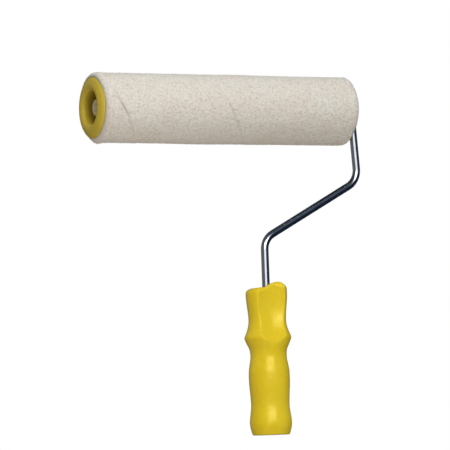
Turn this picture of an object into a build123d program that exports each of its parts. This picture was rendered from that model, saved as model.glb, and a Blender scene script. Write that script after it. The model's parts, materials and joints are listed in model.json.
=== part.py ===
from build123d import *
import os

# Paint roller.  A bent steel rod carries a moulded handle on its stem and a pile cover on its axle.
# The cover spins freely: its two end caps hold nylon bushes that run on the rod.
# Origin: centre of the pole socket's mouth, at the handle's butt.  +Z runs up the handle and the stem,
# +X runs along the axle towards the bent end of the rod, and the rod lies in the XZ plane.

# -------------------------------------------- driving dimensions, mm

# rod
rod_r = 3.175                     # quarter-inch steel rod
rod_foot_z = 46.0                 # lower end of the rod, inside the handle
stem_corner_z = 162.2             # where the stem and the diagonal would meet
leg_corner = (89.65, 211.3)       # where the diagonal and the leg would meet, X and Z
axle_corner_x = 85.9              # where the leg and the axle would meet
stem_bend_r = 14.8
leg_bend_r = 16.0
axle_bend_r = 15.0
rod_end_chamfer = 0.5

# cover
axle_z = 269.4
cover_length = 231.0
cover_outer_x = -150.9            # cover's free end
cover_inner_x = cover_outer_x + cover_length
pile_r = 29.0
pile_edge = 4.2                   # rounding of the pile at both ends
pile_overhang = 2.4               # the pile runs past the core's inner end, level with the cap's flange
core_r = 24.25
core_wall = 1.7

# end caps
flange_t = 2.1
flange_edge = 0.9
flange_crown = 0.5                # the flange's face stands this much proud between its edges
flange_back = 0.6                 # back of the flange, inside the core's end
recess_mouth_r = 14.3
recess_edge = 0.7
recess_floor_r = 13.2
recess_depth = 14.5               # from the core's end to the floor of the recess
cap_wall = 1.6
spigot_length = 20.0
hub_r = 8.2
hub_length = 13.5
rib_count = 6
rib_length = 12.0

# bearings and what keeps the cover on the axle
bush_r = 5.6
bush_clearance = 0.06
bush_flange_r = 8.0
bush_flange_t = 1.3
end_play = 0.3
retainer_r = 6.8
retainer_edge = 0.8
retainer_foot_r = 8.0
retainer_foot_t = 1.6
retainer_inset = 2.0              # retainer's face, inside the core's end
rod_end_inset = 0.3               # rod's end, inside the retainer's face
groove_depth = 0.35
groove_pitch = 2.4
groove_count = 3
ear_span = 10.4                   # across the two ears pinched out of the rod
ear_t = 2.4
ear_length = 2.2
ear_edge = 0.95
collar_r = 7.6
collar_t = 3.4
collar_edge = 0.4
collar_slot_depth = 1.4

# handle
butt_r = 15.2
knob_r, knob_z = 17.4, 10.0
hollow_r, hollow_z = 15.9, 25.0
swell_r, swell_z = 16.95, 46.5
waist_r, waist_z = 15.0, 66.0
flank_r, flank_z = 16.55, 73.1
tip_r, tip_z = 19.5, 80.4         # point of the collar between grip and neck
neck_r, neck_z = 15.6, 95.0
head_r, head_z = 17.1, 116.5
butt_lean = 0.35                  # outward lean of the side, radius gained for each mm of height
tip_lean_below = 0.3
tip_lean_above = -0.45
shoulder_z = 120.6                # low side of the handle's top
lobe_z = 126.2                    # crown of the thumb lobe, on the high side
butt_round = 1.6
top_round = 1.6
lobe_side = 11.5                  # handle axis to the foot of the lobe's side slope
lobe_crown_x = 5.2
lobe_tail_z = 122.6               # where the crown's curve runs out, over the neck's far side
lobe_back = 4.2                   # handle axis to the foot of the lobe's back slope
lobe_slope = 4.6
scoop_axis = 36.0                 # the thumb scoop is turned about an upright line this far in front
scoop_foot, scoop_foot_z = 18.8, 76.5       # from the handle's axis to the middle of the scoop
scoop_bend, scoop_bend_z = 11.3, 84.5
scoop_neck, scoop_neck_z = 9.6, 99.0
scoop_head = 11.2
scoop_foot_lean = -1.3
scoop_head_lean = 0.12
scoop_turn = 7.0                  # the scoop faces this many degrees towards the cover's free end
handle_ear_z = 61.0
handle_ear_span = 11.0
handle_ear_length = 6.0

# handle's moulded core and pole socket
hollow_core_r = 11.5
hollow_core_top_r = 10.2
hollow_core_top_z = 74.0
rod_tube_r = 5.9
rod_tube_foot_z = 44.0
web_t = 1.8
web_bite = 0.5                    # the webs reach this far into the shell's wall
ferrule_length = 36.0
ferrule_flange_r = 13.4
ferrule_flange_t = 2.0
key_count = 4
key_w = 2.4
key_h = 0.9
socket_depth = 32.0
thread_minor_r = 7.35
thread_depth = 2.1
thread_pitch = 5.08               # five turns to the inch
thread_root_w = 1.5
thread_mouth_w = 3.1
thread_turns = 3.5                # the bore above the last turn is plain
thread_start_z = 1.2
thread_overlap = 0.6              # groove's section reaches this far into the bore
socket_lead_r = 9.9               # plain counterbore before the thread starts
socket_lead_depth = 4.0

axle = Axis((0, 0, axle_z), (1, 0, 0))
INNER, OUTER = 1, -1
core_end_x = {INNER: cover_inner_x - pile_overhang, OUTER: cover_outer_x}


def depth_x(side, depth):
    """X of a plane lying the given depth inside the core's end; a negative depth is outside it."""
    return core_end_x[side] - side * depth


def axial_profile(side, points):
    """Face in the XZ plane from (depth, radius) points about the axle."""
    with BuildSketch(Plane.XZ) as profile:
        with BuildLine():
            Polyline([(depth_x(side, d), axle_z + r) for d, r in points], close=True)
        make_face()
    return profile.sketch


def save(piece, name):
    piece.part.label = name
    export_step(piece.part, f"parts/{name}.step")


os.makedirs("parts", exist_ok=True)

# -------------------------------------------- frame rod

stop_x = depth_x(INNER, recess_depth - bush_flange_t - end_play)     # collar's thrust face
ear_x = stop_x + collar_t - collar_slot_depth
rod_end_x = depth_x(OUTER, retainer_inset + rod_end_inset)

with BuildPart() as frame_rod:
    with BuildLine(Plane.XZ) as rod_path:
        FilletPolyline(
            (0, rod_foot_z),
            (0, stem_corner_z),
            leg_corner,
            (axle_corner_x, axle_z),
            (rod_end_x, axle_z),
            radius=[stem_bend_r, leg_bend_r, axle_bend_r],
        )
    with BuildSketch(Plane.XY.offset(rod_foot_z)):
        Circle(rod_r)
    sweep(path=rod_path.line)
    # ears pinched out of the stem, which key it into the handle
    with BuildSketch(Plane.XY.offset(handle_ear_z - handle_ear_length / 2)):
        RectangleRounded(handle_ear_span, ear_t, ear_edge)
    extrude(amount=handle_ear_length)
    # ears pinched out of the axle, which stop the collar
    with BuildSketch(Plane.YZ.offset(ear_x)):
        with Locations((0, axle_z)):
            RectangleRounded(ear_span, ear_t, ear_edge)
    extrude(amount=ear_length)
    # grooves that the retainer grips
    with BuildSketch(Plane.XZ):
        for number in range(groove_count):
            groove_x = rod_end_x + (number + 1) * groove_pitch
            with BuildLine():
                Polyline(
                    (groove_x - groove_depth, axle_z + rod_r),
                    (groove_x, axle_z + rod_r - groove_depth),
                    (groove_x + groove_depth, axle_z + rod_r),
                    (groove_x, axle_z + rod_r + groove_depth),
                    close=True,
                )
            make_face()
    revolve(axis=axle, mode=Mode.SUBTRACT)
    # both cut ends are chamfered
    ends = frame_rod.faces().filter_by(GeomType.PLANE)
    chamfer(ends.sort_by(Axis.X)[0].edges(), length=rod_end_chamfer)
    chamfer(ends.sort_by(Axis.Z)[0].edges(), length=rod_end_chamfer)
save(frame_rod, "frame_rod")

# -------------------------------------------- cover: core tube and pile sleeve

with BuildPart() as core_tube:
    with BuildSketch(Plane.YZ.offset(cover_outer_x)):
        with Locations((0, axle_z)):
            Circle(core_r)
            Circle(core_r - core_wall, mode=Mode.SUBTRACT)
    extrude(amount=cover_length - pile_overhang)
save(core_tube, "core_tube")

with BuildPart() as cover_pile:
    with BuildSketch(Plane.YZ.offset(cover_outer_x)):
        with Locations((0, axle_z)):
            Circle(pile_r)
    extrude(amount=cover_length)
    fillet(cover_pile.edges().filter_by(GeomType.CIRCLE), radius=pile_edge)
    with BuildSketch(Plane.YZ.offset(cover_outer_x)):
        with Locations((0, axle_z)):
            Circle(core_r)
    extrude(amount=cover_length, mode=Mode.SUBTRACT)
save(cover_pile, "cover_pile")


# -------------------------------------------- end caps and their bushes

def end_cap(side):
    """Moulded cap: flange, spigot pressed into the core, and a recess with the bearing hub in its floor."""
    spigot_r = core_r - core_wall
    wall_top_r = recess_mouth_r + cap_wall
    wall_foot_r = recess_floor_r + cap_wall
    floor_back = recess_depth + cap_wall
    crown_depth = -flange_t - flange_crown
    outline = [
        (crown_depth, recess_mouth_r + recess_edge),
        (crown_depth, (recess_mouth_r + core_r) / 2),
        (-flange_t, core_r - flange_edge),
        (-flange_t + flange_edge, core_r),
        (0, core_r),
        (0, spigot_r),
        (spigot_length, spigot_r),
        (spigot_length, spigot_r - cap_wall),
        (flange_back, spigot_r - cap_wall),
        (flange_back, wall_top_r),
        (floor_back, wall_foot_r),
        (floor_back, hub_r),
        (recess_depth + hub_length, hub_r),
        (recess_depth + hub_length, bush_r),
        (recess_depth, bush_r),
        (recess_depth, recess_floor_r),
        (crown_depth + recess_edge, recess_mouth_r),
    ]
    with BuildPart() as cap:
        add(axial_profile(side, outline))
        revolve(axis=axle)
        # stiffening ribs between the recess wall and the spigot
        rib_inner = recess_mouth_r + cap_wall / 4
        rib_outer = spigot_r - cap_wall / 2
        with BuildSketch(Plane.YZ.offset(min(depth_x(side, 0), depth_x(side, rib_length)))):
            with Locations((0, axle_z)):
                with PolarLocations((rib_inner + rib_outer) / 2, rib_count):
                    Rectangle(rib_outer - rib_inner, cap_wall)
        extrude(amount=rib_length)
    return cap


def bush(side):
    """Flanged nylon bush, pressed into the cap's hub and free to turn on the rod."""
    bore_r = rod_r + bush_clearance
    outline = [
        (recess_depth - bush_flange_t, bore_r),
        (recess_depth - bush_flange_t, bush_flange_r),
        (recess_depth, bush_flange_r),
        (recess_depth, bush_r),
        (recess_depth + hub_length, bush_r),
        (recess_depth + hub_length, bore_r),
    ]
    with BuildPart() as sleeve:
        add(axial_profile(side, outline))
        revolve(axis=axle)
    return sleeve


save(end_cap(OUTER), "outer_end_cap")
save(end_cap(INNER), "inner_end_cap")
save(bush(OUTER), "outer_bush")
save(bush(INNER), "inner_bush")

# -------------------------------------------- stop collar and axle retainer, fixed on the rod

with BuildPart() as stop_collar:
    with BuildSketch(Plane.YZ.offset(stop_x)):
        with Locations((0, axle_z)):
            Circle(collar_r)
    extrude(amount=collar_t)
    chamfer(stop_collar.edges().filter_by(GeomType.CIRCLE), length=collar_edge)
    with BuildSketch(Plane.YZ.offset(stop_x)):
        with Locations((0, axle_z)):
            Circle(rod_r)
    extrude(amount=collar_t, mode=Mode.SUBTRACT)
    # slot that seats on the rod's ears, so the collar can't turn with the cover
    with BuildSketch(Plane.YZ.offset(ear_x)):
        with Locations((0, axle_z)):
            RectangleRounded(ear_span, ear_t, ear_edge)
    extrude(amount=collar_slot_depth, mode=Mode.SUBTRACT)
save(stop_collar, "stop_collar")

with BuildPart() as axle_retainer:
    retainer_back = recess_depth - bush_flange_t - end_play
    add(axial_profile(OUTER, [
        (retainer_inset, rod_r),
        (retainer_inset, retainer_r - retainer_edge),
        (retainer_inset + retainer_edge, retainer_r),
        (retainer_back - retainer_foot_t, retainer_r),
        (retainer_back - retainer_foot_t, retainer_foot_r),
        (retainer_back, retainer_foot_r),
        (retainer_back, rod_r),
    ]))
    revolve(axis=axle)
save(axle_retainer, "axle_retainer")

# -------------------------------------------- handle

# thumb scoop, dished into the front of the neck: it fades out across the pointed collar
scoop_top_z = lobe_z + 1          # above everything that it cuts

with BuildPart() as scoop:
    with BuildSketch(Plane.YZ):
        with BuildLine():
            Spline(
                (-scoop_foot, scoop_foot_z),
                (-scoop_bend, scoop_bend_z),
                (-scoop_neck, scoop_neck_z),
                (-scoop_head, scoop_top_z),
                tangents=((-scoop_foot_lean, 1), (-scoop_head_lean, 1)),
            )
            Polyline(
                (-scoop_head, scoop_top_z),
                (-scoop_axis, scoop_top_z),
                (-scoop_axis, scoop_foot_z),
                (-scoop_foot, scoop_foot_z),
            )
        make_face()
    revolve(axis=Axis((0, -scoop_axis, 0), (0, 0, 1)))

# the handle's outside, up to the top of the thumb lobe
with BuildPart() as handle_blank:
    with BuildSketch(Plane.XZ):
        with BuildLine():
            Line((0, 0), (butt_r, 0))
            Spline(
                (butt_r, 0),
                (knob_r, knob_z),
                (hollow_r, hollow_z),
                (swell_r, swell_z),
                (waist_r, waist_z),
                (flank_r, flank_z),
                (tip_r, tip_z),
                tangents=((butt_lean, 1), (tip_lean_below, 1)),
            )
            Spline(
                (tip_r, tip_z),
                (neck_r, neck_z),
                (head_r, head_z),
                tangents=((tip_lean_above, 1), (0, 1)),
            )
            Line((head_r, head_z), (head_r, lobe_z))
            Line((head_r, lobe_z), (0, lobe_z))
            Line((0, lobe_z), (0, 0))
        make_face()
    revolve(axis=Axis.Z)
    fillet(handle_blank.edges().group_by(Axis.Z)[0], radius=butt_round)
    add(scoop.part.rotate(Axis.Z, -scoop_turn), mode=Mode.SUBTRACT)

# thumb lobe: the part of the blank above the shoulder, in front of the rod
lobe_middle_z = (lobe_z + shoulder_z) / 2

with BuildPart() as thumb_lobe:
    with BuildSketch(Plane.XZ):
        with BuildLine():
            Spline(
                (-lobe_side, shoulder_z),
                ((lobe_crown_x - lobe_side) / 2, lobe_middle_z),
                (lobe_crown_x, lobe_z),
                tangents=((1, 0), (1, 0)),
            )
            Spline((lobe_crown_x, lobe_z), (tip_r, lobe_tail_z), tangents=((1, 0), (1, -0.4)))
            Polyline(
                (tip_r, lobe_tail_z),
                (tip_r, neck_z),
                (-lobe_side, neck_z),
                (-lobe_side, shoulder_z),
            )
        make_face()
    extrude(amount=tip_r)
    with BuildSketch(Plane.YZ):
        with BuildLine():
            Spline(
                (-lobe_back - lobe_slope, lobe_z),
                (-lobe_back - lobe_slope / 2, lobe_middle_z),
                (-lobe_back, shoulder_z),
                tangents=((1, 0), (1, 0)),
            )
            Polyline(
                (-lobe_back, shoulder_z),
                (-lobe_back, neck_z),
                (-tip_r, neck_z),
                (-tip_r, lobe_z),
                (-lobe_back - lobe_slope, lobe_z),
            )
        make_face()
    extrude(amount=tip_r, both=True, mode=Mode.INTERSECT)
    add(handle_blank.part, mode=Mode.INTERSECT)

with BuildPart() as handle:
    add(handle_blank.part)
    split(bisect_by=Plane.XY.offset(shoulder_z), keep=Keep.BOTTOM)
    fillet(handle.edges().group_by(Axis.Z)[-1], radius=top_round)
    add(thumb_lobe.part)
    # moulded core: a hollow shell round the rod tube, joined by webs
    with BuildSketch(Plane.XZ):
        with BuildLine():
            Polyline(
                (0, 0),
                (hollow_core_r, 0),
                (hollow_core_r, swell_z),
                (hollow_core_top_r, hollow_core_top_z),
                (0, hollow_core_top_z),
                close=True,
            )
        make_face()
    revolve(axis=Axis.Z, mode=Mode.SUBTRACT)
    with BuildSketch(Plane.XY):
        Circle(ferrule_flange_r)
    extrude(amount=ferrule_flange_t, mode=Mode.SUBTRACT)
    with BuildSketch(Plane.XY.offset(rod_tube_foot_z)):
        Circle(rod_tube_r)
        Rectangle(2 * (hollow_core_r + web_bite), web_t)
        Rectangle(web_t, 2 * (hollow_core_r + web_bite))
    extrude(amount=hollow_core_top_z - rod_tube_foot_z)
    with BuildSketch(Plane.XY.offset(rod_tube_foot_z)):
        Circle(rod_r)
    extrude(amount=lobe_z, mode=Mode.SUBTRACT)
    with BuildSketch(Plane.XY.offset(handle_ear_z - handle_ear_length / 2)):
        RectangleRounded(handle_ear_span, ear_t, ear_edge)
    extrude(amount=handle_ear_length, mode=Mode.SUBTRACT)
    # keyways of the socket insert
    with BuildSketch(Plane.XY):
        with PolarLocations(hollow_core_r, key_count, start_angle=45):
            Rectangle(2 * key_h, key_w)
    extrude(amount=ferrule_length, mode=Mode.SUBTRACT)
save(handle, "handle")

# -------------------------------------------- threaded pole socket, pressed into the butt

with BuildPart() as thread_groove:
    with BuildLine() as helix:
        Helix(
            pitch=thread_pitch,
            height=thread_pitch * thread_turns,
            radius=thread_minor_r,
            center=(0, 0, thread_start_z),
        )
    with BuildSketch(Plane(origin=helix.line @ 0, x_dir=(1, 0, 0), z_dir=helix.line % 0)):
        with BuildLine():
            Polyline(
                (-thread_overlap, -thread_mouth_w / 2),
                (0, -thread_mouth_w / 2),
                (thread_depth, -thread_root_w / 2),
                (thread_depth, thread_root_w / 2),
                (0, thread_mouth_w / 2),
                (-thread_overlap, thread_mouth_w / 2),
                close=True,
            )
        make_face()
    sweep(path=helix.line, is_frenet=True)

with BuildPart() as pole_socket:
    with BuildSketch(Plane.XY):
        Circle(hollow_core_r)
        with PolarLocations(hollow_core_r, key_count, start_angle=45):
            Rectangle(2 * key_h, key_w)
    extrude(amount=ferrule_length)
    with BuildSketch(Plane.XY):
        Circle(ferrule_flange_r)
    extrude(amount=ferrule_flange_t)
    with BuildSketch(Plane.XY):
        Circle(thread_minor_r)
    extrude(amount=socket_depth, mode=Mode.SUBTRACT)
    with BuildSketch(Plane.XY):
        Circle(socket_lead_r)
    extrude(amount=socket_lead_depth, mode=Mode.SUBTRACT)
    add(thread_groove.part, mode=Mode.SUBTRACT)
save(pole_socket, "pole_socket")
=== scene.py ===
"""Looks of the paint roller: pile cover, moulded caps and handle, and bright rod, on a pale floor."""

import json
import math

import bpy
import numpy as np
from mathutils import Matrix, Vector


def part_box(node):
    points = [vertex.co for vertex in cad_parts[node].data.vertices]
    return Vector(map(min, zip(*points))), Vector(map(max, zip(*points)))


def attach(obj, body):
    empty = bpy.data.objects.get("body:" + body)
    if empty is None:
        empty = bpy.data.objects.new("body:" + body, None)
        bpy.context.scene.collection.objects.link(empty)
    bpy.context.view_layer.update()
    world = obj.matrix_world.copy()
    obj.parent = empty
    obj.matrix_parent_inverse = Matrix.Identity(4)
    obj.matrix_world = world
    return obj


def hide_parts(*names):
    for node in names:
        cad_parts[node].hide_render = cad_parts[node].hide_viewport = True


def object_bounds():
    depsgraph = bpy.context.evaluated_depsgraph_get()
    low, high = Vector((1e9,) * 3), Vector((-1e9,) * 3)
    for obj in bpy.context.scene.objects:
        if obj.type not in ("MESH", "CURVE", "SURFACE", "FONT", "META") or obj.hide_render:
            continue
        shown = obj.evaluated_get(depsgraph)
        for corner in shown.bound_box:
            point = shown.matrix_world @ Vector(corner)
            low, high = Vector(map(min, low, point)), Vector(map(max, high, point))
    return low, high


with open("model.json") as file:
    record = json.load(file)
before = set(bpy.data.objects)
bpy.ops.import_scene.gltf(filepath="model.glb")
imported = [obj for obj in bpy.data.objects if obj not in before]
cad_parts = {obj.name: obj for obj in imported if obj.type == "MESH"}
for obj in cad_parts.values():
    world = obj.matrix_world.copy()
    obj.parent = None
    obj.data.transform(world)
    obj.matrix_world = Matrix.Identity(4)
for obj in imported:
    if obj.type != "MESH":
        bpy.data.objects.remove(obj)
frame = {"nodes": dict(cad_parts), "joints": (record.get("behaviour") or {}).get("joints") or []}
CAD_LOW, CAD_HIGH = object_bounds()
MM = 0.001
SEED = 41

# ---------------------------------------------------------------- places read from the frame, metres
AXLE_Z = frame["joints"][0]["pos_m"][2]
PILE_LOW, PILE_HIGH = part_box("cover_pile")
COVER_LEFT, COVER_RIGHT = PILE_LOW.x, PILE_HIGH.x
PILE_R = PILE_HIGH.y
CORE_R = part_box("core_tube")[1].y
CORE_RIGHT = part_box("core_tube")[1].x
FLANGE_FRONT = COVER_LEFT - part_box("outer_end_cap")[0].x
CAP_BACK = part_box("outer_end_cap")[1].x - COVER_LEFT
RETAINER_LOW, RETAINER_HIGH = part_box("axle_retainer")
BUSH_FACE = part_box("outer_bush")[0].x - COVER_LEFT
HANDLE_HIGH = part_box("handle")[1]
SOCKET_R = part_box("pole_socket")[1].x


# ---------------------------------------------------------------- small mesh helpers

def new_object(name, vertices, faces):
    mesh = bpy.data.meshes.new(name)
    mesh.from_pydata(vertices, [], faces)
    mesh.validate()
    piece = bpy.data.objects.new(name, mesh)
    bpy.context.scene.collection.objects.link(piece)
    return piece


def grid_piece(name, rings, loop_rows=False):
    """Mesh through rings of points, each ring closed. With loop_rows the last ring meets the first;
    otherwise the first and last rings are closed by a fan."""
    rows, columns, _ = rings.shape
    vertices = rings.reshape(-1, 3).tolist()
    faces = []
    last = rows if loop_rows else rows - 1
    for row in range(last):
        here = row * columns
        there = ((row + 1) % rows) * columns
        for column in range(columns):
            beside = (column + 1) % columns
            faces.append((here + column, here + beside, there + beside, there + column))
    if not loop_rows:
        for row, turned in ((0, True), (rows - 1, False)):
            centre = len(vertices)
            vertices.append(rings[row].mean(axis=0).tolist())
            here = row * columns
            for column in range(columns):
                beside = (column + 1) % columns
                corner = (here + beside, here + column) if turned else (here + column, here + beside)
                faces.append((*corner, centre))
    return new_object(name, vertices, faces)


def shade(piece, sharp_degrees=38):
    piece.data.shade_smooth()
    piece.data.set_sharp_from_angle(angle=math.radians(sharp_degrees))


def rounded_outline(corners, steps=6):
    """Closed outline from (along, radius, fillet) corners in millimetres, each corner turned by an arc."""
    longest_setback = 0.48            # of the shorter side beside a corner
    points = []
    count = len(corners)
    for i, (a, r, fillet) in enumerate(corners):
        here = np.array([a, r], float)
        to_last = np.array(corners[i - 1][:2], float) - here
        to_next = np.array(corners[(i + 1) % count][:2], float) - here
        reach = [np.linalg.norm(to_last), np.linalg.norm(to_next)]
        to_last /= reach[0]
        to_next /= reach[1]
        half = math.acos(np.clip(to_last @ to_next, -1, 1)) / 2
        setback = min(fillet / math.tan(half), longest_setback * min(reach))
        start, end = here + to_last * setback, here + to_next * setback
        for step in range(steps + 1):
            t = step / steps
            points.append((1 - t) ** 2 * start + 2 * t * (1 - t) * here + t ** 2 * end)
    return np.array(points)


def lathe(name, outline, x_start, x_sign, segments=144):
    """Ring-shaped piece turned about the axle from an (along, radius) outline in millimetres."""
    turn = np.linspace(0, 2 * np.pi, segments, endpoint=False)
    rings = np.empty((len(outline), segments, 3))
    for row, (along, radius) in enumerate(outline * MM):
        rings[row, :, 0] = x_start + x_sign * along
        rings[row, :, 1] = radius * np.sin(turn)
        rings[row, :, 2] = AXLE_Z + radius * np.cos(turn)
    piece = grid_piece(name, rings, loop_rows=True)
    face_outward(piece)
    shade(piece)
    return piece


def face_outward(piece):
    """Turns the faces out if the closed mesh's signed volume is negative."""
    mesh = piece.data
    mesh.calc_loop_triangles()
    places = np.array([v.co for v in mesh.vertices])
    corners = places[np.array([t.vertices for t in mesh.loop_triangles])]
    volume = np.einsum("ij,ij->i", corners[:, 0], np.cross(corners[:, 1], corners[:, 2])).sum()
    if volume < 0:
        mesh.flip_normals()


def paint(piece, name, values):
    """Writes one number per vertex for a material to read."""
    attribute = piece.data.attributes.new(name, "FLOAT", "POINT")
    attribute.data.foreach_set("value", values)


# ---------------------------------------------------------------- curves and noise

def hermite(stations, z):
    """Value at z of a cubic through (z, value, slope) stations."""
    z = np.asarray(z, float)
    knots = np.array(stations, float)
    i = np.clip(np.searchsorted(knots[:, 0], z, side="right") - 1, 0, len(knots) - 2)
    z0, v0, s0 = np.moveaxis(knots[i], -1, 0)
    z1, v1, s1 = np.moveaxis(knots[i + 1], -1, 0)
    span = z1 - z0
    t = np.clip((z - z0) / span, 0, 1)
    return (
        (2 * t ** 3 - 3 * t ** 2 + 1) * v0
        + (t ** 3 - 2 * t ** 2 + t) * span * s0
        + (3 * t ** 2 - 2 * t ** 3) * v1
        + (t ** 3 - t ** 2) * span * s1
    )


def smooth_step(low, high, value):
    t = np.clip((value - low) / (high - low), 0, 1)
    return t * t * (3 - 2 * t)


def bell(distance, width):
    """1 at distance 0, and a little over a third at one width."""
    return np.exp(-((distance / width) ** 2))


def soft_min(a, b, width):
    """The smaller of two lengths, rounded over where they are within a width of each other."""
    overlap = np.clip(width - np.abs(a - b), 0, None) / width
    return np.minimum(a, b) - overlap ** 2 * width / 4


def lattice_noise(rng, u, v, columns):
    """Smooth noise from -1 to 1 on a lattice of unit cells; v wraps round after the given columns."""
    rows = int(np.ceil(u.max())) + 3
    values = rng.uniform(-1, 1, (rows, columns))
    u0 = np.floor(u).astype(int)
    v0 = np.floor(v).astype(int)
    fu = smooth_step(0, 1, u - u0)
    fv = smooth_step(0, 1, v - v0)
    a = values[u0, v0 % columns] * (1 - fv) + values[u0, (v0 + 1) % columns] * fv
    b = values[u0 + 1, v0 % columns] * (1 - fv) + values[u0 + 1, (v0 + 1) % columns] * fv
    return a * (1 - fu) + b * fu


# ---------------------------------------------------------------- node helpers

class Nodes:
    """Short names for building one node tree."""

    def __init__(self, tree):
        self.tree = tree

    def add(self, kind, inputs=None, **settings):
        node = self.tree.nodes.new(kind)
        for key, value in settings.items():
            setattr(node, key, value)
        for key, value in (inputs or {}).items():
            self.feed(node.inputs[key], value)
        return node

    def feed(self, socket, value):
        """Links a socket to another node's output, or sets it to a constant."""
        if isinstance(value, bpy.types.NodeSocket):
            self.tree.links.new(value, socket)
        else:
            socket.default_value = value

    def coordinates(self, stretch=(1, 1, 1)):
        place = self.add("ShaderNodeTexCoord").outputs["Object"]
        return self.add("ShaderNodeMapping", {"Vector": place, "Scale": stretch}).outputs["Vector"]

    def noise(self, place, scale, detail=3.0, roughness=0.55):
        inputs = {"Vector": place, "Scale": scale, "Detail": detail, "Roughness": roughness}
        return self.add("ShaderNodeTexNoise", inputs).outputs["Fac"]

    def painted(self, name):
        """Numbers that paint() wrote on the mesh."""
        return self.add("ShaderNodeAttribute", attribute_name=name).outputs["Fac"]

    def span(self, value, low, high, to_low=0.0, to_high=1.0):
        inputs = {"Value": value, "From Min": low, "From Max": high, "To Min": to_low, "To Max": to_high}
        return self.add("ShaderNodeMapRange", inputs, interpolation_type="SMOOTHSTEP").outputs["Result"]

    def maths(self, operation, a, b=0.0):
        return self.add("ShaderNodeMath", {0: a, 1: b}, operation=operation).outputs[0]

    def vector_maths(self, operation, a, b):
        return self.add("ShaderNodeVectorMath", {0: a, 1: b}, operation=operation).outputs[0]

    def weighted(self, *terms):
        """Sum of value times weight."""
        total = 0.0
        for value, weight in terms:
            total = self.maths("ADD", self.maths("MULTIPLY", value, weight), total)
        return total

    def blend(self, factor, a, b):
        """Colour a where the factor is 0, colour b where it is 1."""
        factor_socket, a_socket, b_socket, result = 0, 6, 7, 2    # the ones that a colour mix uses
        inputs = {factor_socket: factor, a_socket: a, b_socket: b}
        return self.add("ShaderNodeMix", inputs, data_type="RGBA").outputs[result]

    def bump(self, height, distance, strength, under=None):
        inputs = {"Height": height, "Distance": distance, "Strength": strength}
        if under is not None:
            inputs["Normal"] = under
        return self.add("ShaderNodeBump", inputs).outputs["Normal"]


def new_material(name, **constants):
    """Material with constants set on its shader's own sockets; an underscore stands for a space."""
    material = bpy.data.materials.new(name)
    material.use_nodes = True
    surface = material.node_tree.nodes["Principled BSDF"]
    for key, value in constants.items():
        surface.inputs[key.replace("_", " ")].default_value = value
    return material, Nodes(material.node_tree), surface


def connect(nodes, surface, **sockets):
    for key, socket in sockets.items():
        nodes.tree.links.new(socket, surface.inputs[key.replace("_", " ")])


def rgb(red, green, blue):
    """Linear colour from 8-bit sRGB values."""
    channels = []
    for value in (red, green, blue):
        c = value / 255
        channels.append(c / 12.92 if c <= 0.04045 else ((c + 0.055) / 1.055) ** 2.4)
    return (*channels, 1.0)


# ---------------------------------------------------------------- materials

def pile_material():
    """Off-white nap: faint clouds, painted shade in the pits between the tufts, light fibre tips, and
    painted shade in the seam's crease and along the edge beside the cap.
    """
    material, nodes, surface = new_material(
        "pile", Roughness=0.95, Sheen_Weight=0.45, Sheen_Roughness=0.35, Specular_IOR_Level=0.12)
    place = nodes.coordinates()
    cloud = nodes.noise(place, 55, 3)
    tuft = nodes.noise(place, 620, 3, 0.65)
    fibre = nodes.noise(place, 1700, 2, 0.7)
    colour = nodes.blend(nodes.span(cloud, 0.35, 0.65), rgb(232, 222, 208), rgb(233, 227, 213))
    # painted shade: darker where the tufts' bump is low, in the pits between them
    colour = nodes.blend(nodes.span(tuft, 0.30, 0.54, 0.70, 0.0), colour, rgb(192, 180, 163))
    colour = nodes.blend(nodes.span(fibre, 0.52, 0.70, 0.0, 0.6), colour, rgb(250, 246, 239))
    # painted shade in the seam's crease and beside the cap
    colour = nodes.blend(nodes.painted("crease"), colour, rgb(150, 141, 128))
    coarse = nodes.bump(tuft, 0.0007, 0.5)
    fine = nodes.bump(fibre, 0.0004, 0.5, coarse)
    connect(nodes, surface, Base_Color=colour, Normal=fine)
    return material


def yellow_material(name, light, deep, roughness):
    """Moulded polypropylene with faint flow marks. A painted attribute darkens deep recesses: painted
    shade.
    """
    material, nodes, surface = new_material(
        name, IOR=1.49, Specular_Tint=rgb(250, 255, 195), Subsurface_Weight=0.30,
        Subsurface_Scale=0.0035, Subsurface_Radius=(1.0, 0.6, 0.12))
    place = nodes.coordinates()
    flow = nodes.noise(nodes.coordinates((1, 1, 0.35)), 55, 3)
    speck = nodes.noise(place, 900, 2, 0.6)
    handled = nodes.noise(place, 130, 4, 0.6)
    colour = nodes.blend(nodes.span(flow, 0.3, 0.7), deep, light)
    colour = nodes.blend(nodes.span(speck, 0.6, 0.75, 0, 0.2), colour, rgb(208, 172, 22))
    # painted shade: deep recesses darkened towards a dark brown
    colour = nodes.blend(nodes.painted("recess_shade"), colour, rgb(96, 70, 10))
    rough = nodes.span(handled, 0.3, 0.75, roughness - 0.05, roughness + 0.07)
    grain = nodes.bump(speck, 0.0002, 0.08)
    skin = nodes.bump(handled, 0.0010, 0.13, grain)
    connect(nodes, surface, Base_Color=colour, Roughness=rough, Normal=skin)
    return material


def plated_steel_material():
    """Bright plating over drawn wire: hairline marks along the drawing and slightly cloudy gloss."""
    material, nodes, surface = new_material("rod_steel", Metallic=1.0)
    place = nodes.coordinates()
    draw = nodes.noise(nodes.coordinates((1, 1, 0.12)), 900, 3, 0.6)
    cloud = nodes.noise(place, 160, 3)
    colour = nodes.blend(nodes.span(cloud, 0.3, 0.7), rgb(196, 199, 208), rgb(208, 211, 218))
    rough = nodes.span(cloud, 0.3, 0.75, 0.06, 0.12)
    scratch = nodes.bump(draw, 0.00010, 0.05)
    connect(nodes, surface, Base_Color=colour, Roughness=rough, Normal=scratch)
    return material


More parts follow.
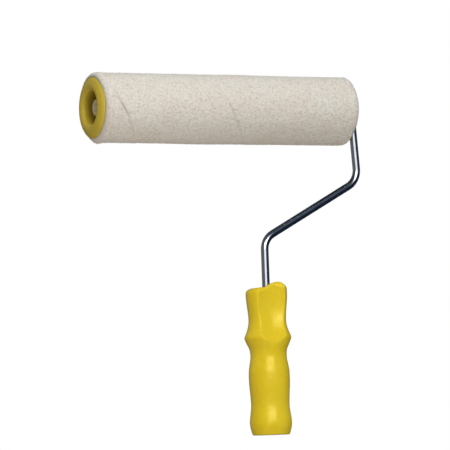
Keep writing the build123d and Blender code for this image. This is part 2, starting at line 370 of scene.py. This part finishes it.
def nylon_material(name, light, deep, roughness):
    """Plain off-white engineering plastic with a fine eroded mould texture."""
    material, nodes, surface = new_material(name, IOR=1.53, Subsurface_Weight=0.12, Subsurface_Scale=0.003)
    place = nodes.coordinates()
    cloud = nodes.noise(place, 240, 3)
    speck = nodes.noise(place, 1400, 2, 0.6)
    colour = nodes.blend(nodes.span(cloud, 0.3, 0.7), light, deep)
    rough = nodes.span(speck, 0.3, 0.7, roughness - 0.06, roughness + 0.08)
    connect(nodes, surface, Base_Color=colour, Roughness=rough, Normal=nodes.bump(speck, 0.0002, 0.15))
    return material


def floor_material():
    material, nodes, surface = new_material("floor", Roughness=0.9)
    cloud = nodes.noise(nodes.coordinates(), 3, 2)
    connect(nodes, surface, Base_Color=nodes.blend(cloud, (0.90, 0.90, 0.89, 1), (0.94, 0.94, 0.93, 1)))
    return material


# ---------------------------------------------------------------- pile cover

ROUND = 2 * np.pi * PILE_R            # once round the pile's outside
PILE_INSIDE_R = CORE_R + 0.05 * MM
PILE_COLUMNS = 300
PILE_ROWS = 280
EDGE_ROWS = 11
FIBRES = 44000
TOP_LAP = 1.3 * MM                    # on top the pile laps over the outer cap's flange
SHEARED_BACK = 1.7 * MM               # underneath, the inner end is cut short
END_PILE, FULL_PILE = 0.08, 0.815     # share of the thickness left at the sheared ends, and gained inwards
PROUDEST = 0.9 * MM                   # the highest tuft over the pile's radius
NAP_GRAIN = 0.09 * MM
LUMPS = ((38, 0.20), (9, 0.04), (2.6, 0.05), (1.7, 0.10), (1.2, 0.12))     # cell and height, millimetres
LATTICE_MARGIN = 20 * MM              # keeps the noise's cells positive past the cover's left end

SEAM_LEAD = 96.9 * MM                 # how far the wound strip advances in one turn
SEAM_START = COVER_LEFT + 13.6 * MM   # where one turn of the seam crosses the front of the cover
SEAM_WIDTH = 0.85 * MM
SEAM_DEPTH = 0.75 * MM
SEAM_WANDER = 0.5 * MM
CREVICE_WIDTH = 0.5 * MM
SEAM_LIP, SEAM_LIP_AT, SEAM_LIP_WIDTH = 0.15 * MM, 2.0 * MM, 1.2 * MM      # nap pushed up beside the seam
# the seam gapes most where the nap is pressed at the front, and closes up on top: middle, width, share
GAPES = ((-6, 10, 1.0), (-32, 24, 0.45), (22, 16, 0.30))                   # in degrees of lift
GAPE_BEHIND = 0.35


def pile_ends(upward):
    """Left end and its rounding's length, right end and its rounding's length, all round the cover."""
    left_end = COVER_LEFT - TOP_LAP * smooth_step(0.0, 1.0, upward)
    left_edge = (3.9 - 0.4 * upward) * MM
    right_end = COVER_RIGHT - SHEARED_BACK * smooth_step(0.0, 0.85, -upward)
    level = np.abs(upward)
    right_edge = (7.0 - 3.0 * level - 1.4 * smooth_step(0.7, 1.0, level)) * MM
    return left_end, left_edge, right_end, right_edge


def fullness(distance, length, power):
    """Share of the pile's thickness at a distance from its sheared end."""
    t = np.clip(distance / length, 0, 1)
    return (1 - (1 - t) ** power) ** (1 / power)


def pile_noise(rng, x, angle, cell):
    """Smooth noise over the cover, in cells of so many millimetres."""
    columns = int(ROUND / (cell * MM))
    along = x - COVER_LEFT + LATTICE_MARGIN
    return lattice_noise(rng, along / (cell * MM), angle / (2 * np.pi) * columns, columns)


def seam_parting(rng, x, angle, upward):
    """Distance from the helical seam between the turns of the strip, and how far it is parted there."""
    seam = SEAM_START - SEAM_LEAD * angle / (2 * np.pi) + SEAM_WANDER * pile_noise(rng, x, angle, 9)
    apart = (x - seam + SEAM_LEAD / 2) % SEAM_LEAD - SEAM_LEAD / 2
    apart *= ROUND / math.hypot(ROUND, SEAM_LEAD)
    lift = np.degrees(np.arcsin(upward))
    gape = sum(share * bell(lift - middle, width) for middle, width, share in GAPES)
    gape = np.where(np.cos(angle) > 0, gape, GAPE_BEHIND) * (1 + 0.4 * pile_noise(rng, x, angle, 11))
    # less so from turn to turn towards the inner end
    from_left = x - COVER_LEFT
    parting = np.clip(gape, 0, 1) * (1 - 0.40 * smooth_step(0.045, 0.085, from_left))
    return apart, parting * (1 - 0.8 * smooth_step(0.12, 0.17, from_left))


def pile_grid(rng):
    """Points of the pile's outer surface, row by row along the cover, and the painted shade there: the
    seam's crease and the edge beside the cap.
    """
    turn = np.linspace(0, 2 * np.pi, PILE_COLUMNS, endpoint=False)
    upward = np.sin(turn)                                 # 0 at the front, 1 on top
    left_end, left_edge, right_end, right_edge = pile_ends(upward)
    ease = 1 - np.cos(np.linspace(0, 1, EDGE_ROWS, endpoint=False) * np.pi / 2)
    left = left_end + ease[:, None] * left_edge
    right = right_end - ease[::-1, None] * right_edge
    between = np.linspace(0, 1, PILE_ROWS)[:, None]
    middle = (left_end + left_edge) * (1 - between) + (right_end - right_edge) * between
    x = np.concatenate([left, middle, right])
    angle = np.repeat(turn[None, :], len(x), axis=0)

    left_full = fullness(x - left_end, left_edge, 1.6 + 0.4 * upward)
    right_full = fullness(right_end - x, right_edge, 2.0)
    full = np.minimum(left_full, right_full)
    base = PILE_INSIDE_R + (PILE_R - PILE_INSIDE_R) * (END_PILE + FULL_PILE * full)
    # the sheared left end stands prouder on the underside, where the cover was laid down
    lip = (0.45 - 0.50 * upward) * bell(x - COVER_LEFT - left_edge, 2.6 * MM)
    base += lip * MM * full

    relief = rng.normal(0, NAP_GRAIN, x.shape)
    for cell, height in LUMPS:
        relief += height * MM * pile_noise(rng, x, angle, cell)
    apart, parting = seam_parting(rng, x, angle, upward)
    crease = bell(apart, SEAM_WIDTH) * parting
    relief -= SEAM_DEPTH * crease
    relief += SEAM_LIP * bell(np.abs(apart) - SEAM_LIP_AT, SEAM_LIP_WIDTH) * parting

    radius = base + relief * np.clip(full, 0.3, 1)
    radius = np.minimum(radius, PILE_R + PROUDEST)
    points = np.stack([x, -radius * np.cos(angle), AXLE_Z + radius * np.sin(angle)], axis=2)
    crevice = np.exp(-(x - left_end) / CREVICE_WIDTH)     # shade where the pile meets the cap
    return points, np.maximum(crease, 1.2 * crevice)


def pile_cover(material):
    """Sleeve of short pile wound on the core as one strip. Its ends are sheared round down to the core."""
    outer, crease = pile_grid(np.random.default_rng(SEED))
    turn = np.linspace(0, 2 * np.pi, PILE_COLUMNS, endpoint=False)
    inner_x = np.linspace(COVER_RIGHT, COVER_LEFT, 5)
    inner = np.empty((len(inner_x), PILE_COLUMNS, 3))
    inner[:, :, 0] = inner_x[:, None]
    inner[:, :, 1] = -PILE_INSIDE_R * np.cos(turn)
    inner[:, :, 2] = AXLE_Z + PILE_INSIDE_R * np.sin(turn)
    piece = grid_piece("pile_sleeve", np.concatenate([outer, inner]), loop_rows=True)
    face_outward(piece)
    piece.data.shade_smooth()
    # painted shade in the seam's crease and beside the cap, for the pile material to read
    crease_shade_strength = 0.7
    unseen = np.zeros(inner.shape[0] * PILE_COLUMNS)
    paint(piece, "crease", np.concatenate([crease.ravel() * crease_shade_strength, unseen]))
    piece.data.materials.append(material)
    piece.visible_glossy = False
    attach(piece, "roller")
    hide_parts("cover_pile")
    nap = pile_fibres(outer, material)


def pile_fibres(outer, material):
    """Loose tips of the nap: small leaning spikes rooted in the sleeve's surface."""
    foot_r, foot_depth = 0.16 * MM, 0.15 * MM
    shortest, longest = 0.35, 0.8     # millimetres
    rng = np.random.default_rng(SEED + 1)
    rows, columns, _ = outer.shape
    row = rng.integers(2, rows - 3, FIBRES)
    column = rng.integers(0, columns, FIBRES)
    t = rng.random((FIBRES, 2))
    beside = (column + 1) % columns
    root = (
        outer[row, column] * ((1 - t[:, :1]) * (1 - t[:, 1:]))
        + outer[row + 1, column] * (t[:, :1] * (1 - t[:, 1:]))
        + outer[row, beside] * ((1 - t[:, :1]) * t[:, 1:])
        + outer[row + 1, beside] * (t[:, :1] * t[:, 1:])
    )
    radial = root - np.array([0, 0, AXLE_Z])
    radial[:, 0] = 0
    radial /= np.linalg.norm(radial, axis=1, keepdims=True)
    axial = np.tile(np.array([1.0, 0, 0]), (FIBRES, 1))
    around = np.cross(axial, radial)
    lean = rng.normal(0, 0.75, (FIBRES, 2))
    usual_slant = 1.25                # length of radial plus lean, for a usual lean
    length = rng.uniform(shortest, longest, (FIBRES, 1)) * MM
    tip = root + length * (radial + lean[:, :1] * axial + lean[:, 1:] * around) / usual_slant
    foot = root - foot_depth * radial
    start = rng.uniform(0, 2 * np.pi, FIBRES)
    corners = []
    for third in range(3):
        swing = (start + third * 2 * np.pi / 3)[:, None]
        corners.append(foot + foot_r * (np.cos(swing) * axial + np.sin(swing) * around))
    vertices = np.stack([*corners, tip], axis=1).reshape(-1, 3)
    spike = np.array([[0, 2, 1], [0, 1, 3], [1, 2, 3], [2, 0, 3]])
    faces = (np.arange(FIBRES)[:, None, None] * 4 + spike[None]).reshape(-1, 3)
    piece = new_object("pile_nap", vertices.tolist(), faces.tolist())
    piece.visible_glossy = False
    face_outward(piece)
    piece.data.shade_smooth()
    piece.data.materials.append(material)
    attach(piece, "roller")
    return piece


# ---------------------------------------------------------------- end caps and retainer, millimetres

CORE = CORE_R / MM
RECESS_DEPTH = BUSH_FACE / MM + 1.3   # floor of the recess, behind the bush's flange
MOUTH_R = 14.2                        # where the rounded flange turns into the recess
RECESS_WALL_R = 13.6
RECESS_FLOOR_R = 12.9
HUB_BORE = 5.62
HUB_WALL = 2.4
HUB_BACK = CAP_BACK / MM - 0.1
CAP_WALL = 1.6
SPIGOT_R = CORE - 1.75                # just inside the core tube
SPIGOT_LENGTH = 20.0


def end_cap(name, node, x_start, x_sign, crown, rim, material):
    """Cup pressed into the core. Its rounded flange stands proud by the crown and laps out by the rim."""
    corners = [
        (-0.02, CORE - 0.75, 0.1),
        (-0.1, CORE + rim, 0.6),
        (-0.22 * crown, CORE + rim, 1.2),
        (-0.66 * crown, CORE - 1.3, 2.6),
        (-crown, CORE - 4.9, 3.0),
        (-crown, MOUTH_R + 3.2, 2.0),
        (-0.92 * crown, MOUTH_R + 1.7, 1.6),
        (-0.55 * crown, MOUTH_R, 1.0),
        (3.0, RECESS_WALL_R, 3.0),
        (RECESS_DEPTH, RECESS_FLOOR_R, 0.9),
        (RECESS_DEPTH, HUB_BORE, 0.2),
        (HUB_BACK, HUB_BORE, 0.2),
        (HUB_BACK, HUB_BORE + HUB_WALL, 0.3),
        (RECESS_DEPTH + CAP_WALL, HUB_BORE + HUB_WALL, 0.5),
        (RECESS_DEPTH + CAP_WALL, 14.7, 0.8),
        (CAP_WALL, 16.0, 0.5),
        (CAP_WALL, SPIGOT_R - 1.65, 0.5),
        (SPIGOT_LENGTH, SPIGOT_R - 1.65, 0.3),
        (SPIGOT_LENGTH, SPIGOT_R, 0.3),
        (-0.05, SPIGOT_R, 0.1),
    ]
    piece = lathe(name, rounded_outline(corners), x_start, x_sign)
    places = np.array([vertex.co for vertex in piece.data.vertices]) / MM
    depth = (places[:, 0] - x_start / MM) * x_sign
    off_axle = np.hypot(places[:, 1], places[:, 2] - AXLE_Z / MM)
    in_recess = off_axle < MOUTH_R + 0.4
    # painted shade: darker with depth inside the recess, for the yellow material to read
    paint(piece, "recess_shade", 0.75 * smooth_step(-2.4, 5.0, depth) * in_recess)
    piece.data.materials.append(material)
    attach(piece, "roller")
    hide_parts(node)


def retainer(material):
    """Push-on hub with a foot flange, its face slightly dished round the rod's end."""
    face = RETAINER_LOW.x
    length = (RETAINER_HIGH.x - face) / MM
    foot_r = RETAINER_HIGH.y / MM
    rod_r, barrel_r, foot = 3.2, 6.8, 1.6
    corners = [
        (0.35, rod_r, 0.25),
        (0.0, rod_r + 1.1, 0.3),
        (0.0, barrel_r, 0.9),
        (length - foot, barrel_r, 0.4),
        (length - foot, foot_r, 0.3),
        (length, foot_r, 0.3),
        (length, rod_r, 0.1),
    ]
    piece = lathe("retainer_cap", rounded_outline(corners), face, 1, segments=96)
    piece.data.materials.append(material)
    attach(piece, "frame")
    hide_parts("axle_retainer")


# ---------------------------------------------------------------- handle, millimetres

# (height, value, slope) stations up the handle
GRIP = [
    (0.0, 15.2, 0.34),
    (10.0, 17.4, 0.0),
    (25.0, 15.9, 0.0),
    (46.5, 16.95, 0.0),
    (51.5, 16.88, -0.03),
    (65.8, 15.02, 0.0),
    (73.1, 16.55, 0.50),
    (80.4, 19.75, 0.36),
    (95.0, 23.0, 0.0),
]
NECK = [
    (60.0, 28.0, -0.45),
    (80.4, 19.75, -0.50),
    (95.0, 15.55, 0.0),
    (116.5, 17.15, 0.0),
    (130.0, 17.15, 0.0),
]
# middle of the front, where the collar's point fades away
FRONT = [
    (65.8, 15.02, 0.0),
    (77.0, 16.75, 0.2),
    (85.0, 17.7, 0.0),
    (100.0, 17.7, 0.0),
]
SCOOP = [
    (60.0, 24.0, -0.6),
    (73.5, 17.6, -0.22),
    (76.8, 16.7, -0.42),
    (80.4, 14.4, -0.80),
    (85.0, 12.0, -0.36),
    (91.0, 10.4, -0.19),
    (98.0, 9.3, -0.12),
    (105.0, 9.0, 0.03),
    (127.0, 11.0, 0.12),
]
FRONT_SPREAD = math.radians(38)       # the collar's point fades over this angle either side of the front
SCOOP_TURN = math.radians(7)          # the scoop faces this far towards the cover's free end
SCOOP_AXIS = 36.0                     # the scoop is turned about an upright line this far in front
SCOOP_BLEND, TIP_BLEND = 2.8, 1.4     # width of the soft edges round the scoop and at the collar's point
FAR_OUT = 99.0                        # where the scoop isn't met
TIP_Z, TIP_REACH = 80.4, 6            # the collar's point, and how far above and below both outlines count
SHOULDER_Z = 120.6
HUMP, HUMP_X, HUMP_WIDTH = 0.9, -10.5, 4.5
LOBE_TOP = HANDLE_HIGH.z / MM - 0.1
LOBE_LEFT, LOBE_CROWN, LOBE_RIGHT = -11.5, 5.8, HANDLE_HIGH.x / MM         # along X
LOBE_FALL = 1.5                       # share of its height that the lobe loses over the neck's far side
LOBE_FRONT, LOBE_BACK = -8.8, -4.2    # along Y, where it falls away behind
ROD_HOLE, ROD_HOLE_EDGE, ROD_HOLE_DEPTH = 3.2, 0.35, 20
INSERT_R, INSERT_TOP = 11.55, 34.1    # the hole that the pole socket is moulded into
INSERT_FOOT = 2.05                    # its flange's upper face
BUTT_ROUND = 1.7
HANDLE_COLUMNS = 288
SIDE_ROWS = 230


def scoop_outline(angle, z):
    """Distance from the handle's axis to the scoop's dished surface, large where the scoop isn't met."""
    dish_r = SCOOP_AXIS - hermite(SCOOP, z)
    off_front = angle + np.pi / 2 + SCOOP_TURN
    under_root = dish_r ** 2 - (SCOOP_AXIS * np.sin(off_front)) ** 2
    met = (under_root > 0) & (np.cos(off_front) > 0)
    distance = SCOOP_AXIS * np.cos(off_front) - np.sqrt(np.clip(under_root, 0, None))
    return np.where(met, distance, FAR_OUT)


def handle_outline(angle, z):
    """Radius of the handle's side: a turned grip and neck, with the thumb scoop in front."""
    grip = hermite(GRIP, z)
    off_front = (angle + SCOOP_TURN + 3 * np.pi / 2) % (2 * np.pi) - np.pi
    flat_front = bell(off_front, FRONT_SPREAD) * np.clip(grip - hermite(FRONT, z), 0, None)
    grip = np.where(z > FRONT[0][0], grip - flat_front, grip)
    neck = hermite(NECK, z)
    turned = np.where(z < TIP_Z - TIP_REACH, grip, soft_min(grip, neck, TIP_BLEND))
    turned = np.where(z > TIP_Z + TIP_REACH, neck, turned)
    return soft_min(turned, scoop_outline(angle, z), SCOOP_BLEND)


def lobe_share(x, y):
    """Height of the thumb lobe over the shoulder, 1 at its crown."""
    rise = smooth_step(LOBE_LEFT, LOBE_CROWN, x)
    past_crown = np.clip((x - LOBE_CROWN) / (LOBE_RIGHT - LOBE_CROWN), 0, 1)
    return (rise - LOBE_FALL * past_crown ** 3) * (1 - smooth_step(LOBE_FRONT, LOBE_BACK, y))


def top_height(radius, angle):
    """Height of the top surface: the shoulder, its low hump on the left and the thumb lobe."""
    x = radius * np.cos(angle)
    y = radius * np.sin(angle)
    return SHOULDER_Z + HUMP * bell(x - HUMP_X, HUMP_WIDTH) + (LOBE_TOP - SHOULDER_Z) * lobe_share(x, y)


def rim_shape(angle):
    """Radius of the rim's rounded edge, and the rim's height. The edge is wide round the shoulder, tight
    along the lobe, and widest at the lobe's far corner."""
    shoulder_edge, lobe_edge, corner_edge = 3.9, 1.2, 4.8
    radius = handle_outline(angle, np.full_like(angle, SHOULDER_Z))
    share = lobe_share(radius * np.cos(angle), radius * np.sin(angle))
    far_corner = smooth_step(0.3, 0.9, share) * smooth_step(0.5, 0.95, np.cos(angle + np.pi / 6))
    rounding = shoulder_edge + (lobe_edge - shoulder_edge) * smooth_step(0.05, 0.9, share)
    rounding += (corner_edge - lobe_edge) * far_corner
    return rounding, top_height(radius, angle)


def level_rings(angle, stations):
    """Round, level rings through (radius, height) stations."""
    return [(np.full_like(angle, radius), np.full_like(angle, z)) for radius, z in stations]


def butt_rings(angle):
    """Inside of the butt round the pole socket, its flat face, and the rounded edge."""
    flange_r = SOCKET_R / MM + 0.05
    centre_r, face_r = 0.5, flange_r + 0.3
    rings = level_rings(angle, [
        (centre_r, INSERT_TOP),
        (INSERT_R, INSERT_TOP),
        (INSERT_R, INSERT_FOOT),
        (flange_r, INSERT_FOOT),
        (flange_r, 0.4),
        (face_r, 0.05),
    ])
    outside = handle_outline(angle, np.full_like(angle, BUTT_ROUND)) - BUTT_ROUND
    rings.append((0.5 * face_r + 0.5 * outside, np.zeros_like(angle)))
    for turn in np.linspace(0, np.pi / 2, 8):
        z = BUTT_ROUND * (1 - np.cos(turn))
        rings.append((outside + BUTT_ROUND * np.sin(turn), np.full_like(angle, z)))
    return rings


def side_and_top_rings(angle):
    """The side, the rounded rim, and the top surface in to the rod's hole."""
    rings = []
    rim_round, rim_z = rim_shape(angle)
    side_top = rim_z - rim_round
    for t in np.linspace(0, 1, SIDE_ROWS)[1:]:
        z = BUTT_ROUND + t * (side_top - BUTT_ROUND)
        rings.append((handle_outline(angle, z), z))
    rim_r = handle_outline(angle, side_top)
    for turn in np.linspace(0, np.pi / 2, 12)[1:]:
        radius = rim_r - rim_round * (1 - np.cos(turn))
        top = np.minimum(top_height(radius, angle), rim_z)
        rings.append((radius, top - rim_round * (1 - np.sin(turn))))
    flat_r = rim_r - rim_round
    for t in np.linspace(0, 1, 28)[1:]:
        radius = flat_r + t * (ROD_HOLE + ROD_HOLE_EDGE - flat_r)
        rings.append((radius, top_height(radius, angle)))
    return rings


def handle_piece(material):
    """The moulded handle, open inside for the pole socket and the rod."""
    angle = np.linspace(-np.pi, np.pi, HANDLE_COLUMNS, endpoint=False)
    hole_foot = SHOULDER_Z - ROD_HOLE_DEPTH
    rings = butt_rings(angle) + side_and_top_rings(angle)
    rings += level_rings(angle, [(ROD_HOLE, SHOULDER_Z - 0.1), (ROD_HOLE, hole_foot), (0.5, hole_foot)])
    points = [np.stack([radius * np.cos(angle), radius * np.sin(angle), z], axis=1) for radius, z in rings]
    piece = grid_piece("moulded_handle", np.array(points) * MM)
    face_outward(piece)
    shade(piece, 50)
    piece.data.materials.append(material)
    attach(piece, "frame")
    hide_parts("handle")


# ---------------------------------------------------------------- camera, light and floor

def camera():
    """Long lens in front of the object, to its left and below its middle, looking a little upwards."""
    yaw, pitch, roll = (math.radians(a) for a in (26.017, -4.166, 2.040))
    aim = Vector((-0.035743, 0, 0.173814))
    distance = 2.7
    back = Vector((-math.sin(yaw) * math.cos(pitch), -math.cos(yaw) * math.cos(pitch), math.sin(pitch)))
    right = Vector((0, 0, 1)).cross(back).normalized()
    up = back.cross(right)
    tilted_right = right * math.cos(roll) - up * math.sin(roll)
    tilted_up = right * math.sin(roll) + up * math.cos(roll)
    data = bpy.data.cameras.new("camera")
    data.sensor_width = 36
    data.lens = 262.13
    data.clip_end = 50
    view = bpy.data.objects.new("camera", data)
    bpy.context.scene.collection.objects.link(view)
    turn = Matrix((tilted_right, tilted_up, back)).transposed().to_4x4()
    view.matrix_world = Matrix.Translation(aim + back * distance) @ turn
    bpy.context.scene.camera = view


def area_light(name, azimuth, elevation, distance, size, power, aim):
    """Soft round light that no reflection shows. Its angles are in degrees, from the aim and the front."""
    data = bpy.data.lights.new(name, "AREA")
    data.shape = "DISK"
    data.size = size
    data.energy = power
    light = bpy.data.objects.new(name, data)
    bpy.context.scene.collection.objects.link(light)
    a, e = math.radians(azimuth), math.radians(elevation)
    back = Vector((math.sin(a) * math.cos(e), -math.cos(a) * math.cos(e), math.sin(e)))
    light.location = aim + back * distance
    light.rotation_euler = back.to_track_quat("Z", "Y").to_euler()
    light.visible_camera = False
    light.visible_glossy = False


def lights():
    object_middle = Vector((-0.02, 0, 0.18))
    cover_left_end = Vector((-0.10, 0, AXLE_Z))
    grip_middle = Vector((0, 0, 0.075))
    area_light("key", -22, 50, 1.2, 0.7, 6.0, object_middle)
    area_light("low_left", -30, -36, 0.32, 0.2, 0.14, cover_left_end)
    area_light("card", -40, -45, 0.32, 0.25, 0.06, grip_middle)


def soft_dome(nodes, x, y, z):
    """Diffuse light, mostly from the front, from above and below alike; warmer on the left and below."""
    tall = nodes.maths("ABSOLUTE", z)
    leftmost = nodes.span(nodes.maths("MULTIPLY", x, -1.0), 0.70, 0.98)
    rightmost = nodes.span(x, 0.60, 0.98)
    level, darkest = 0.397, 0.05
    dome = nodes.weighted(
        (x, -0.03), (y, -0.22), (z, 0.05), (tall, 0.08), (leftmost, -0.32), (rightmost, -0.20))
    dome = nodes.maths("MAXIMUM", nodes.maths("ADD", dome, level), darkest)
    tint = nodes.blend(nodes.span(x, -0.8, 0.9), (1.05, 1.01, 0.97, 1), (0.86, 1.00, 1.16, 1))
    tint = nodes.blend(nodes.span(z, 0.2, 1.0), tint, (0.99, 1.04, 1.13, 1))
    tint = nodes.blend(nodes.span(z, -0.9, 0.0), (1.06, 0.98, 0.92, 1), tint)
    return nodes.vector_maths("MULTIPLY", tint, dome)


def panel(nodes, x, y, z, azimuth, half_width, soft, heights):
    """Mask of a panel that stands round the object. Heights: dark, full, full, dark; all in degrees."""
    a = math.radians(azimuth)
    facing = nodes.weighted((x, math.sin(a)), (y, -math.cos(a)))
    flat = nodes.maths("SQRT", nodes.maths("SUBTRACT", 1.0, nodes.maths("MULTIPLY", z, z)))
    facing = nodes.maths("DIVIDE", facing, nodes.maths("MAXIMUM", flat, 0.001))
    edge = math.cos(math.radians(half_width + soft / 2))
    full = math.cos(math.radians(half_width - soft / 2))
    across = nodes.span(facing, edge, full)
    low, low_full, high_full, high = (math.sin(math.radians(height)) for height in heights)
    upward = nodes.maths("MULTIPLY", nodes.span(z, low, low_full), nodes.span(z, high_full, high, 1.0, 0.0))
    return nodes.maths("MULTIPLY", across, upward)


def mirrored_studio(nodes, x, y, z):
    """What the gloss reflects: dark below, grey above and on the left, with a bright panel in front."""
    to_left = nodes.span(nodes.maths("MULTIPLY", x, -1.0), -0.1, 0.6)
    upwards = nodes.span(z, -0.2, 0.5)
    studio = nodes.blend(upwards, (0.010, 0.016, 0.034, 1), (0.070, 0.092, 0.118, 1))
    studio = nodes.blend(to_left, studio, (0.150, 0.157, 0.166, 1))
    behind = panel(nodes, x, y, z, 206, 12, 10, (-17, -7, 12, 22))
    studio = nodes.blend(behind, studio, (0.30, 0.27, 0.20, 1))
    wash = panel(nodes, x, y, z, -15, 26, 16, (-3, 1, 20, 34))
    glare = panel(nodes, x, y, z, -18, 19, 16, (5, 18, 23, 33))
    wash_power, glare_power = 1.3, 6.5
    front = nodes.maths("ADD", nodes.maths("MULTIPLY", wash, wash_power),
                        nodes.maths("MULTIPLY", glare, glare_power))
    return nodes.vector_maths("ADD", studio, front)


def world_light():
    """White to the eye; a soft dome for diffuse light; a studio with a bright panel for reflections."""
    world = bpy.data.worlds.new("studio")
    bpy.context.scene.world = world
    world.use_nodes = True
    nodes = Nodes(world.node_tree)
    way = nodes.add("ShaderNodeTexCoord").outputs["Generated"]
    x, y, z = nodes.add("ShaderNodeSeparateXYZ", {0: way}).outputs
    path = nodes.add("ShaderNodeLightPath").outputs
    seen = nodes.blend(path["Is Glossy Ray"], soft_dome(nodes, x, y, z), mirrored_studio(nodes, x, y, z))
    seen = nodes.blend(path["Is Camera Ray"], seen, (1, 1, 1, 1))
    background = world.node_tree.nodes["Background"]
    world.node_tree.links.new(seen, background.inputs["Color"])


def floor():
    """Pale floor under the butt. It catches the light but throws none back, and casts no shadow."""
    size, cells = 8.0, 8
    level = CAD_LOW.z - 0.03
    steps = np.linspace(-size / 2, size / 2, cells + 1)
    vertices = [(px, py, level) for py in steps for px in steps]
    faces = []
    for row in range(cells):
        for column in range(cells):
            a = row * (cells + 1) + column
            faces.append((a, a + 1, a + cells + 2, a + cells + 1))
    ground = new_object("floor", vertices, faces)
    ground.data.materials.append(floor_material())
    ground.visible_diffuse = False
    ground.visible_glossy = False
    ground.visible_shadow = False


# ---------------------------------------------------------------- put it together

camera()
world_light()
lights()
floor()

handle_yellow = yellow_material("handle_yellow", rgb(240, 211, 44), rgb(234, 204, 34), 0.26)
cap_yellow = yellow_material("cap_yellow", rgb(213, 189, 68), rgb(205, 179, 60), 0.36)
white_nylon = nylon_material("nylon", rgb(226, 222, 210), rgb(214, 209, 196), 0.42)
retainer_nylon = nylon_material("retainer_nylon", rgb(206, 190, 150), rgb(194, 176, 134), 0.46)
socket_plastic = nylon_material("socket_plastic", rgb(212, 208, 197), rgb(199, 194, 182), 0.50)
core_plastic = nylon_material("core_plastic", rgb(205, 203, 196), rgb(192, 190, 182), 0.55)

outer_crown = FLANGE_FRONT / MM + 1.3
inner_crown = 0.5

pile_cover(pile_material())
end_cap("outer_cap_moulding", "outer_end_cap", COVER_LEFT, 1, outer_crown, 0.9, cap_yellow)
end_cap("inner_cap_moulding", "inner_end_cap", CORE_RIGHT, -1, inner_crown, 0.0, cap_yellow)
retainer(retainer_nylon)
handle_piece(handle_yellow)

carried = {
    "frame_rod": plated_steel_material(),
    "stop_collar": white_nylon,
    "outer_bush": white_nylon,
    "inner_bush": white_nylon,
    "core_tube": core_plastic,
    "pole_socket": socket_plastic,
}
for node, material in carried.items():
    frame["nodes"][node].material_slots[0].material = material

bpy.context.scene.view_settings.view_transform = "Standard"
